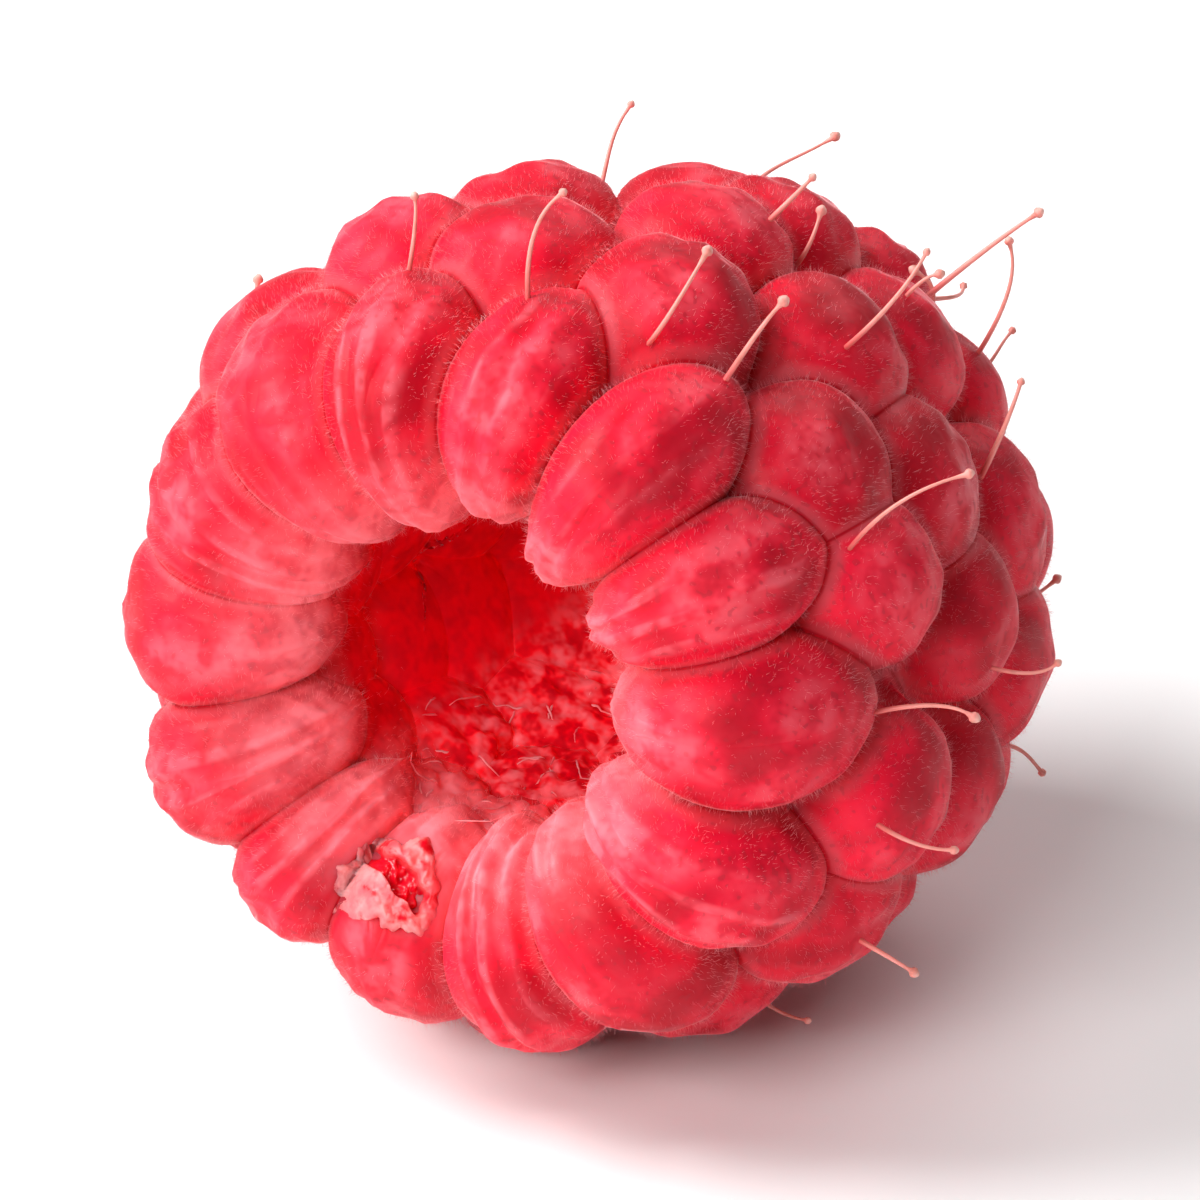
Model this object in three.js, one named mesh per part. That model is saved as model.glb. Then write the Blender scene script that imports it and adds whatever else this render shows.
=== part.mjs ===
// A red raspberry as picked: one hollow cup of plump drupelets grown together, lying on its side.
// The berry's own axis runs along +Y, with its open mouth at the front and its closed tip at the back.
// Millimetres, +Z up, standing on z = 0.
import * as THREE from "three";

// Size of the berry without its drupelets' relief.
const BODY_RADIUS = 9.1;
const BODY_LENGTH = 18.6;
const WIDEST_Y = 5.5; // distance of the widest place from the mouth
const SHOULDER_FULLNESS = 0.92; // 1 gives an elliptical tip end, less gives a blunter one
const LIP_RADIUS = 6.75; // the lip's foremost circle
const THROAT_RADIUS = 4.9;
const THROAT_Y = 2.6;
const HOLLOW_DEPTH = 12.4;

// Height of the drupelets over that body.
const OUTER_RELIEF = 1.7;
const WALL_RELIEF = 0.42;
const RELIEF_SPREAD = 0.16; // share by which one drupelet stands higher or lower than the next
const CREASE_AT = 0.9; // where on a dome of radius 1 two neighbours meet
const STEEPEST_AT = 0.97; // a dome runs on straight from here
const DEEPEST = -0.3; // and no further than this share of its height
const SIDE_FALL = 4; // power with which a dome bends to the shared height of its crease

// Rings of drupelets from the tip to the bottom of the hollow: how many, and the width of their
// band along the section as a share of its whole length. The shares of both lists add up to 1.
const OUTER_RINGS = [
  { count: 1, width: 0.045 },
  { count: 6, width: 0.092 },
  { count: 11, width: 0.092 },
  { count: 13, width: 0.093 },
  { count: 14, width: 0.095 },
  { count: 14, width: 0.103 },
  { count: 14, width: 0.17 }, // the rim, whose long drupelets turn over the lip
];
const WALL_RINGS = [
  { count: 14, width: 0.055 },
  { count: 11, width: 0.06 },
  { count: 8, width: 0.065 },
  { count: 5, width: 0.08 },
  { count: 1, width: 0.05 },
];
const OVERLAP = 1.12; // length of a drupelet over the width of its band
const STRAY_ALONG = 0.16; // how far a drupelet strays from its place, as a share of the spacing
const STRAY_AROUND = 0.2;
const RIM_STRAY = 0.35; // the rim's drupelets stray only this share of that
const SIZE_SPREAD = 0.1;
const SEED = 159;

// As it lies: a little taller and narrower than round, uneven, and turned on its own axis.
const TALLER = 0.014;
const OUT_OF_ROUND = 0.022; // share by which the radius swells and shrinks around the axis
const OVAL_AT = 0.6; // in radians, what turns the oval part of that
const CORNERED_AT = 2.1; // and the part with three blunt corners
const CORNERED_SHARE = 0.6;
const TURN = -4;
const NOSE_DOWN = 8;
const SUNK = 0.4; // how much of its lowest drupelets is pressed flat

// Facets: the longest step along a drupelet's outline, in radians of direction, and its rings from
// the top down.
const LONGEST_STEP = 0.115;
const RIM_FACET_RINGS = [0.35, 0.62, 0.84];
const OUTER_FACET_RINGS = [0.42, 0.76];
const WALL_FACET_RINGS = [0.6];

const QUARTER = Math.PI / 2;
const radians = THREE.MathUtils.degToRad;
const { clamp } = THREE.MathUtils;

// Evenly spread draws from 0 to 1, the same on every machine.
function drawsFrom(seed) {
  let state = seed;
  return () => {
    state = (state * 16807) % 2147483647;
    return state / 2147483647;
  };
}

// The body's half section as radius and distance from the mouth, in four quarter arcs:
// the tip end, the rim's shoulder, the inside of the lip, and the hollow.
function profile(turn) {
  const arc = Math.min(3, Math.floor(turn));
  const a = (turn - arc) * QUARTER;
  const [sin, cos] = [Math.max(0, Math.sin(a)), Math.max(0, Math.cos(a))];
  if (arc === 0) {
    return [
      BODY_RADIUS * sin ** SHOULDER_FULLNESS,
      WIDEST_Y + (BODY_LENGTH - WIDEST_Y) * cos ** SHOULDER_FULLNESS,
    ];
  }
  if (arc === 1) {
    return [LIP_RADIUS + (BODY_RADIUS - LIP_RADIUS) * cos, WIDEST_Y * (1 - sin)];
  }
  if (arc === 2) {
    return [LIP_RADIUS - (LIP_RADIUS - THROAT_RADIUS) * sin, THROAT_Y * (1 - cos)];
  }
  return [THROAT_RADIUS * cos, THROAT_Y + (HOLLOW_DEPTH - THROAT_Y) * sin];
}

// The same section by its length, so that a share of that length gives a place and a normal.
const SECTION_STEPS = 800;
const section = [];
for (let i = 0, length = 0; i <= SECTION_STEPS; i++) {
  const [r, y] = profile((4 * i) / SECTION_STEPS);
  if (i) length += Math.hypot(r - section[i - 1].r, y - section[i - 1].y);
  section.push({ r, y, length });
}

function sectionAt(share) {
  const wanted = clamp(share, 0, 1) * section[SECTION_STEPS].length;
  let i = 1;
  while (i < SECTION_STEPS && section[i].length < wanted) i++;
  const [a, b] = [section[i - 1], section[i]];
  const t = (wanted - a.length) / (b.length - a.length);
  return { r: a.r + (b.r - a.r) * t, y: a.y + (b.y - a.y) * t };
}

// A place on the body is a direction: its angle from the tip gives the share along the section.
// This returns the point that stands height over that place.
const NEAR = 0.004;
function bodyPoint(direction, height) {
  const share = Math.acos(clamp(direction.y, -1, 1)) / Math.PI;
  const around = Math.atan2(direction.z, direction.x);
  const here = sectionAt(share);
  const before = sectionAt(share - NEAR);
  const after = sectionAt(share + NEAR);
  const [dr, dy] = [after.r - before.r, after.y - before.y];
  const step = Math.hypot(dr, dy);
  const poleward = share < NEAR || share > 1 - NEAR;
  const [nr, ny] = poleward ? [0, share < 0.5 ? 1 : -1] : [-dy / step, dr / step];
  const r = here.r + nr * height;
  return new THREE.Vector3(r * Math.cos(around), here.y + ny * height, r * Math.sin(around));
}

function directionAt(share, around) {
  return new THREE.Vector3().setFromSphericalCoords(1, share * Math.PI, QUARTER - around);
}

// The drupelets: each has the direction of its middle, its height there, and its half sizes along
// the section and around the axis, in radians of direction.
const drupelets = [];
const rings = [];
function growRings() {
  const draw = drawsFrom(SEED);
  let bandStart = 0;
  [...OUTER_RINGS, ...WALL_RINGS].forEach(({ count, width }, k) => {
    const outside = k < OUTER_RINGS.length;
    const rim = k === OUTER_RINGS.length - 1;
    const stray = rim ? RIM_STRAY : 1;
    const pole = k === 0 ? 0 : 1;
    const middle = count === 1 ? pole : bandStart + width / 2;
    const halfAlong = (count === 1 ? width : (OVERLAP * width) / 2) * Math.PI;
    const halfAcross = count === 1 ? halfAlong : (Math.PI * Math.sin(middle * Math.PI)) / count;
    const outerFacets = rim ? RIM_FACET_RINGS : OUTER_FACET_RINGS;
    const ring = [];
    for (let i = 0; i < count; i++) {
      const [strayed, turned, taller, larger] = [draw(), draw(), draw(), draw()].map((d) => 2 * d - 1);
      const angle = ((i + 0.5 * (k % 2) + STRAY_AROUND * stray * turned) * 2 * Math.PI) / count;
      const direction = directionAt(middle + STRAY_ALONG * stray * width * strayed, angle);
      const tipward = new THREE.Vector3(0, 1, 0).addScaledVector(direction, -direction.y);
      if (tipward.length() < NEAR) tipward.set(1, 0, 0);
      tipward.normalize();
      ring.push(drupelets.length);
      drupelets.push({
        direction,
        angle,
        tipward,
        sideways: tipward.clone().cross(direction),
        halfAlong: halfAlong * (1 + SIZE_SPREAD * larger),
        halfAcross: halfAcross * (1 + SIZE_SPREAD * larger),
        height: (outside ? OUTER_RELIEF : WALL_RELIEF) * (1 + RELIEF_SPREAD * taller),
        facetRings: [...(outside ? outerFacets : WALL_FACET_RINGS), 1],
      });
    }
    rings.push(ring);
    bandStart += width;
  });
}

// Joins each ring of drupelets to the next, so that every corner where three of them meet is one
// triangle of neighbours.
function neighbourTriangles() {
  const triangles = [];
  const unwrapped = (ring, i) =>
    drupelets[ring[i % ring.length]].angle + 2 * Math.PI * Math.floor(i / ring.length);
  for (let k = 0; k + 1 < rings.length; k++) {
    const [a, b] = [rings[k], rings[k + 1]];
    let [i, j] = [0, 0];
    while (i < (a.length > 1 ? a.length : 0) || j < (b.length > 1 ? b.length : 0)) {
      const aNext = a.length > 1 && i < a.length ? (unwrapped(a, i) + unwrapped(a, i + 1)) / 2 : Infinity;
      const bNext = b.length > 1 && j < b.length ? (unwrapped(b, j) + unwrapped(b, j + 1)) / 2 : Infinity;
      const [from, to] = [a[i % a.length], b[j % b.length]];
      if (aNext < bNext) {
        triangles.push([from, a[(i + 1) % a.length], to]);
        i++;
      } else {
        triangles.push([from, b[(j + 1) % b.length], to]);
        j++;
      }
    }
  }
  return triangles;
}

// How far a direction is from the middle of a drupelet, in its half sizes: 1 is a rounded outline.
function reach(drupelet, direction) {
  const away = direction.clone().sub(drupelet.direction);
  const along = away.dot(drupelet.tipward) / drupelet.halfAlong;
  const across = away.dot(drupelet.sideways) / drupelet.halfAcross;
  const slope = new THREE.Vector3()
    .addScaledVector(drupelet.tipward, along / drupelet.halfAlong)
    .addScaledVector(drupelet.sideways, across / drupelet.halfAcross);
  const distance = Math.hypot(along, across);
  return { distance, slope: slope.divideScalar(distance) };
}

// Slides a direction until it is equally far from two or three drupelets: their crease or corner.
const SLIDES = 12;
const LONGEST_SLIDE = 0.03;
function meetingPlace(owners, start) {
  const place = start.clone();
  for (let n = 0; n < SLIDES * owners.length; n++) {
    const a = reach(owners[n % owners.length], place);
    const b = reach(owners[(n + 1) % owners.length], place);
    const slope = a.slope.sub(b.slope);
    const slide = slope.multiplyScalar((b.distance - a.distance) / slope.lengthSq());
    place.add(slide.clampLength(0, LONGEST_SLIDE)).normalize();
  }
  return place;
}

// Height share of a dome at x of its radius.
function dome(x) {
  const edge = Math.sqrt(1 - STEEPEST_AT ** 2);
  if (x < STEEPEST_AT) return Math.sqrt(1 - x * x);
  return Math.max(DEEPEST, edge - ((x - STEEPEST_AT) * STEEPEST_AT) / edge);
}

// The neighbours of one drupelet in order, each with the corners at both ends of their crease.
function outlineOf(i, triangles) {
  const turnTo = new Map();
  triangles.forEach((t, corner) => {
    const at = t.indexOf(i);
    if (at >= 0) turnTo.set(t[(at + 1) % 3], { next: t[(at + 2) % 3], corner });
  });
  const start = turnTo.keys().next().value;
  const outline = [];
  let here = start;
  do {
    const { next, corner } = turnTo.get(here);
    outline.push({ neighbour: next, from: corner, to: turnTo.get(next).corner });
    here = next;
  } while (here !== start);
  return outline;
}

function buildBerry() {
  growRings();
  const triangles = neighbourTriangles();
  const positions = [];
  const faces = [];
  const addPoint = (v) => positions.push(v.x, v.y, v.z) / 3 - 1;

  // Corners, where three drupelets meet in a pit.
  const corners = triangles.map((t) => {
    const owners = t.map((i) => drupelets[i]);
    const start = new THREE.Vector3();
    owners.forEach((d) => start.add(d.direction));
    return { direction: meetingPlace(owners, start.normalize()), heights: [] };
  });

  // A point on the crease between two drupelets, shared by both.
  const creases = new Map();
  const stepsOf = ({ from, to }) =>
    Math.ceil(corners[from].direction.angleTo(corners[to].direction) / LONGEST_STEP);
  function creasePoint(i, { neighbour, from, to }, step, steps) {
    const place = neighbour < i ? steps - step : step;
    const key = [Math.min(i, neighbour), Math.max(i, neighbour), place].join();
    if (!creases.has(key)) {
      const start = corners[from].direction.clone().lerp(corners[to].direction, step / steps);
      const direction = meetingPlace([drupelets[i], drupelets[neighbour]], start.normalize());
      creases.set(key, { direction, heights: [] });
    }
    return creases.get(key);
  }

  // Each drupelet gives every point of its outline the height of its own dome there.
  const outlines = drupelets.map((d, i) => {
    const outline = [];
    for (const side of outlineOf(i, triangles)) {
      const steps = stepsOf(side);
      for (let step = 0; step < steps; step++) {
        const edge = step ? creasePoint(i, side, step, steps) : corners[side.from];
        const x = CREASE_AT * reach(d, edge.direction).distance;
        edge.heights.push(d.height * dome(x));
        outline.push({ edge, x });
      }
    }
    return outline;
  });

  // What the drupelets at a point share is the mean of those heights.
  for (const edge of [...corners, ...creases.values()]) {
    edge.height = edge.heights.reduce((sum, h) => sum + h) / edge.heights.length;
    edge.point = addPoint(bodyPoint(edge.direction, edge.height));
  }

  drupelets.forEach((d, i) => {
    const top = addPoint(bodyPoint(d.direction, d.height));
    let inner = null;
    for (const f of d.facetRings) {
      const ring = outlines[i].map(({ edge, x }) => {
        if (f === 1) return edge.point;
        const direction = d.direction.clone().lerp(edge.direction, f).normalize();
        const bend = (edge.height - d.height * dome(x)) * f ** SIDE_FALL;
        return addPoint(bodyPoint(direction, d.height * dome(f * x) + bend));
      });
      ring.forEach((p, n) => {
        const next = (n + 1) % ring.length;
        if (!inner) faces.push(top, p, ring[next]);
        else faces.push(inner[n], p, ring[next], inner[n], ring[next], inner[next]);
      });
      inner = ring;
    }
  });

  const geometry = new THREE.BufferGeometry();
  geometry.setAttribute("position", new THREE.Float32BufferAttribute(positions, 3));
  geometry.setIndex(faces);
  return geometry;
}

// Makes the berry uneven, tips it nose down, and presses its lowest drupelets flat.
function layDown(geometry) {
  const point = new THREE.Vector3();
  const position = geometry.getAttribute("position");
  const pose = new THREE.Matrix4()
    .makeRotationX(-radians(NOSE_DOWN))
    .multiply(new THREE.Matrix4().makeRotationY(radians(TURN)));
  for (let i = 0; i < position.count; i++) {
    point.fromBufferAttribute(position, i);
    const around = Math.atan2(point.z, point.x);
    const oval = Math.cos(2 * around + OVAL_AT);
    const cornered = CORNERED_SHARE * Math.cos(3 * around + CORNERED_AT);
    const swell = 1 + OUT_OF_ROUND * (oval + cornered);
    point.set(point.x * swell, point.y, point.z * swell).applyMatrix4(pose);
    point.x *= 1 - TALLER;
    point.z *= 1 + TALLER;
    position.setXYZ(i, point.x, point.y, point.z);
  }
  geometry.computeBoundingBox();
  const { min, max } = geometry.boundingBox;
  const floor = min.z + SUNK;
  for (let i = 0; i < position.count; i++) {
    position.setXYZ(
      i,
      position.getX(i) - (min.x + max.x) / 2,
      position.getY(i) - (min.y + max.y) / 2,
      Math.max(0, position.getZ(i) - floor),
    );
  }
  return geometry;
}

const flesh = new THREE.MeshStandardMaterial({ color: 0xc81e36, roughness: 0.45, metalness: 0 });
const raspberry = new THREE.Mesh(layDown(buildBerry()), flesh);
raspberry.name = "raspberry";

const berry = new THREE.Group();
berry.add(raspberry);

export default berry;
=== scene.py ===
import math

import bpy
import numpy as np
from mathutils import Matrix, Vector
from mathutils.bvhtree import BVHTree


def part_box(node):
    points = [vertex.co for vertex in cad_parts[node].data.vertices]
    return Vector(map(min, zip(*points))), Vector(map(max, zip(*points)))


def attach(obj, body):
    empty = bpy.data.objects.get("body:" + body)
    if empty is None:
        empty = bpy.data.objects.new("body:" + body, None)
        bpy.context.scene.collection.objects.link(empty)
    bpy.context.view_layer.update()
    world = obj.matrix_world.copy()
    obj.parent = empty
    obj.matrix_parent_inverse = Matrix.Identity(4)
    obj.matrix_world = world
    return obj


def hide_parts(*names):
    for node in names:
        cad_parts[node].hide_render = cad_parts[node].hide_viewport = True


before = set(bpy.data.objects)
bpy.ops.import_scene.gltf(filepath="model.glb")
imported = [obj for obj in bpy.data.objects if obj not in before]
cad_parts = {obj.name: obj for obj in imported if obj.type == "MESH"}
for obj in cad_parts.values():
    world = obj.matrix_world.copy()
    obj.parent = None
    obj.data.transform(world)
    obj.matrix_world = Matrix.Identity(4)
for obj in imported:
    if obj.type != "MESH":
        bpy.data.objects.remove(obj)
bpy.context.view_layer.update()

# The camera: a long lens that looks down at the mouth from the front and a little from the right,
# as the photograph does. A place in the photograph gives the line of sight through it.
MM = 0.001
CAMERA_AZIMUTH = math.radians(29)
CAMERA_ELEVATION = math.radians(29)
CAMERA_DISTANCE = 450
SENSOR_WIDTH = 36
PIXEL = 0.122  # millimetres across one of the photograph's pixels, at the berry
FRAME_MIDDLE = (160, 755)
FRAME_PIXELS = 240
BERRY_MIDDLE = (166.5, 745)


def unit(v):
    return v / np.linalg.norm(v, axis=-1, keepdims=True)


low, high = (np.array(v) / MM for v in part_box("raspberry"))
right = np.array([math.cos(CAMERA_AZIMUTH), math.sin(CAMERA_AZIMUTH), 0])
level = np.array([-math.sin(CAMERA_AZIMUTH), math.cos(CAMERA_AZIMUTH), 0])
forward = level * math.cos(CAMERA_ELEVATION) - np.array([0, 0, math.sin(CAMERA_ELEVATION)])
up = np.cross(right, forward)
aim = (low + high) / 2 - right * PIXEL * (BERRY_MIDDLE[0] - FRAME_MIDDLE[0])
aim += up * PIXEL * (BERRY_MIDDLE[1] - FRAME_MIDDLE[1])
lens = aim - forward * CAMERA_DISTANCE


def photo_place(x, y):
    """A place in the photograph, at the distance of the berry's middle."""
    return aim + PIXEL * (right * (x - FRAME_MIDDLE[0]) + up * (FRAME_MIDDLE[1] - y))


def sight(x, y):
    """The direction from the lens through a place in the photograph."""
    return unit(photo_place(x, y) - lens)


camera_data = bpy.data.cameras.new("camera")
camera_data.sensor_width = SENSOR_WIDTH
camera_data.lens = SENSOR_WIDTH * CAMERA_DISTANCE / (FRAME_PIXELS * PIXEL)
camera_data.clip_start = 0.01
camera = bpy.data.objects.new("camera", camera_data)
camera.location = Vector(lens * MM)
camera.rotation_euler = Vector(forward).to_track_quat("-Z", "Y").to_euler()
bpy.context.scene.collection.objects.link(camera)
bpy.context.scene.camera = camera

# The flesh: seventy-three juicy drupelets grown together into one hollow cup, with low cells left on
# its wall where the core was pulled out. They are grown here ring by ring, by the same rule and the
# same draws as the solid, with many more points, and pressed flat where the berry lies.
BODY_RADIUS = 9.1
BODY_LENGTH = 18.6
WIDEST_Y = 5.5
SHOULDER_FULLNESS = 0.92
LIP_RADIUS = 6.75
THROAT_RADIUS = 4.9
THROAT_Y = 2.6
HOLLOW_DEPTH = 12.4
OUTER_RELIEF = 1.7
WALL_RELIEF = 0.42
RELIEF_SPREAD = 0.16
CREASE_AT = 0.9
STEEPEST_AT = 0.97
DEEPEST = -0.3
SIDE_FALL = 4
OUTER_RINGS = ((1, 0.045), (6, 0.092), (11, 0.092), (13, 0.093), (14, 0.095), (14, 0.103), (14, 0.17))
WALL_RINGS = ((14, 0.055), (11, 0.06), (8, 0.065), (5, 0.08), (1, 0.05))
OVERLAP = 1.12
STRAY_ALONG = 0.16
STRAY_AROUND = 0.2
RIM_STRAY = 0.35
SIZE_SPREAD = 0.1
SEED = 159
DRAW_FACTOR = 16807
DRAW_RANGE = 2147483647
TALLER = 0.014
OUT_OF_ROUND = 0.022
OVAL_AT = 0.6
CORNERED_AT = 2.1
CORNERED_SHARE = 0.6
TURN = -4
NOSE_DOWN = 8

RIM = len(OUTER_RINGS) - 1
SECTION_STEPS = 800
SLIDES = 12  # towards a place where drupelets meet, and the longest of them
LONGEST_SLIDE = 0.03
OUTLINE_STEP = 0.026  # radians of direction between two points of a drupelet's outline
PATCH_RINGS = 13
EDGE_CROWDING = 1.15  # the rings of points stand closer near the crease
LUMP_WAVES = 28
ABOUT_RADIUS = 10  # makes a direction about as long as the berry's radius
LUMP_SIZE = 1.1
LUMP_SHARE = 0.035  # how far the skin swells and dents over the plain dome
FOLD_HEIGHT = 0.08  # low folds run lengthwise over the rim's long drupelets
FOLD_WIDTH = 0.9
FOLD_WANDER = 0.12
SMOOTH_EDGE = 6  # lumps and folds fade out with this power towards the crease


def body_profile(turn):
    """The cup's half section, as radius and distance from the mouth, in four quarter arcs."""
    arc = min(3, int(turn))
    a = (turn - arc) * math.pi / 2
    s, c = max(0.0, math.sin(a)), max(0.0, math.cos(a))
    if arc == 0:
        return BODY_RADIUS * s**SHOULDER_FULLNESS, WIDEST_Y + (BODY_LENGTH - WIDEST_Y) * c**SHOULDER_FULLNESS
    if arc == 1:
        return LIP_RADIUS + (BODY_RADIUS - LIP_RADIUS) * c, WIDEST_Y * (1 - s)
    if arc == 2:
        return LIP_RADIUS - (LIP_RADIUS - THROAT_RADIUS) * s, THROAT_Y * (1 - c)
    return THROAT_RADIUS * c, THROAT_Y + (HOLLOW_DEPTH - THROAT_Y) * s


SECTION = np.array([body_profile(4 * i / SECTION_STEPS) for i in range(SECTION_STEPS + 1)])
SECTION_LENGTH = np.concatenate([[0], np.cumsum(np.hypot(*np.diff(SECTION, axis=0).T))])
NEAR_POLE = 0.004


def section_at(share):
    along = np.clip(share, 0, 1) * SECTION_LENGTH[-1]
    return np.interp(along, SECTION_LENGTH, SECTION[:, 0]), np.interp(along, SECTION_LENGTH, SECTION[:, 1])


def body_point(direction, height):
    """The points that stand height over the places on the cup that the directions give."""
    share = np.arccos(np.clip(direction[:, 1], -1, 1)) / math.pi
    around = np.arctan2(direction[:, 2], direction[:, 0])
    r, y = section_at(share)
    r0, y0 = section_at(share - NEAR_POLE)
    r1, y1 = section_at(share + NEAR_POLE)
    step = np.hypot(r1 - r0, y1 - y0)
    at_pole = (share < NEAR_POLE) | (share > 1 - NEAR_POLE)
    nr = np.where(at_pole, 0, (y0 - y1) / step)
    ny = np.where(at_pole, np.where(share < 0.5, 1, -1), (r1 - r0) / step)
    r = r + nr * height
    return np.stack([r * np.cos(around), y + ny * height, r * np.sin(around)], -1)


def grow_drupelets():
    """Every drupelet's middle, axes, half sizes and height, ring by ring, and the rings."""
    state = SEED
    rows = []
    rings = []
    band_start = 0.0
    for k, (count, width) in enumerate(OUTER_RINGS + WALL_RINGS):
        stray = RIM_STRAY if k == RIM else 1
        middle = (0 if k == 0 else 1) if count == 1 else band_start + width / 2
        half_along = math.pi * (width if count == 1 else OVERLAP * width / 2)
        half_across = half_along if count == 1 else math.pi * math.sin(middle * math.pi) / count
        ring = []
        for i in range(count):
            draws = []
            for _ in range(4):
                state = state * DRAW_FACTOR % DRAW_RANGE
                draws.append(2 * state / DRAW_RANGE - 1)
            strayed, turned, taller, larger = draws
            angle = (i + 0.5 * (k % 2) + STRAY_AROUND * stray * turned) * 2 * math.pi / count
            polar = (middle + STRAY_ALONG * stray * width * strayed) * math.pi
            off_axis = math.sin(polar)
            direction = np.array([off_axis * math.cos(angle), math.cos(polar), off_axis * math.sin(angle)])
            tipward = np.array([0.0, 1, 0]) - direction * direction[1]
            if np.linalg.norm(tipward) < NEAR_POLE:
                tipward = np.array([1.0, 0, 0])
            tipward = unit(tipward)
            relief = OUTER_RELIEF if k <= RIM else WALL_RELIEF
            ring.append(len(rows))
            rows.append(dict(
                direction=direction, angle=angle, tipward=tipward, sideways=np.cross(tipward, direction),
                half=np.array([half_along, half_across]) * (1 + SIZE_SPREAD * larger),
                height=relief * (1 + RELIEF_SPREAD * taller), ring=k,
            ))
        rings.append(ring)
        band_start += width
    return rows, rings


drupelets, rings = grow_drupelets()
MIDDLE = np.array([d["direction"] for d in drupelets])
TIPWARD = np.array([d["tipward"] for d in drupelets])
SIDEWAYS = np.array([d["sideways"] for d in drupelets])
HALF = np.array([d["half"] for d in drupelets])
HEIGHT = np.array([d["height"] for d in drupelets])


def neighbour_triangles():
    """Every three drupelets that meet at a corner, from ring to ring."""
    triangles = []

    def halfway(ring, i):
        a, b = (drupelets[ring[j % len(ring)]]["angle"] + 2 * math.pi * (j // len(ring)) for j in (i, i + 1))
        return (a + b) / 2 if len(ring) > 1 and i < len(ring) else math.inf

    for a, b in zip(rings, rings[1:]):
        i = j = 0
        while min(halfway(a, i), halfway(b, j)) < math.inf:
            start, end = a[i % len(a)], b[j % len(b)]
            if halfway(a, i) < halfway(b, j):
                triangles.append((start, a[(i + 1) % len(a)], end))
                i += 1
            else:
                triangles.append((start, b[(j + 1) % len(b)], end))
                j += 1
    return triangles


def reach(owner, direction):
    """How far each direction is from its owner's middle, in half sizes, and how that changes."""
    away = direction - MIDDLE[owner]
    along = (away * TIPWARD[owner]).sum(-1) / HALF[owner, 0]
    across = (away * SIDEWAYS[owner]).sum(-1) / HALF[owner, 1]
    distance = np.hypot(along, across)
    slope = TIPWARD[owner] * (along / HALF[owner, 0])[:, None]
    slope += SIDEWAYS[owner] * (across / HALF[owner, 1])[:, None]
    return distance, slope / distance[:, None]


def meeting_places(owners, start):
    """Slides each direction until its two or three owners are equally far from it."""
    place = unit(start)
    count = owners.shape[1]
    for n in range(SLIDES * count):
        xa, ga = reach(owners[:, n % count], place)
        xb, gb = reach(owners[:, (n + 1) % count], place)
        slope = ga - gb
        slide = slope * ((xb - xa) / (slope**2).sum(-1))[:, None]
        length = np.linalg.norm(slide, axis=-1, keepdims=True)
        place = unit(place + slide * np.minimum(1, LONGEST_SLIDE / np.maximum(length, 1e-12)))
    return place


def dome(x):
    """A drupelet's height, as a share of its top, at a distance x from its middle."""
    edge = math.sqrt(1 - STEEPEST_AT**2)
    straight = edge - (x - STEEPEST_AT) * STEEPEST_AT / edge
    return np.maximum(DEEPEST, np.where(x < STEEPEST_AT, np.sqrt(np.clip(1 - x * x, 0, 1)), straight))


def lumps(points, size, seed):
    """Smooth uneven swelling from about -1 to 1, with lumps of the given size in the points' unit."""
    rng = np.random.default_rng(seed)
    waves = unit(rng.normal(size=(LUMP_WAVES, 3))) * (2 * math.pi / size)
    waves = waves * rng.uniform(0.6, 1.5, (LUMP_WAVES, 1))
    starts = rng.uniform(0, 2 * math.pi, LUMP_WAVES)
    return np.sin(points @ waves.T + starts).sum(-1) / math.sqrt(LUMP_WAVES)


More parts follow.
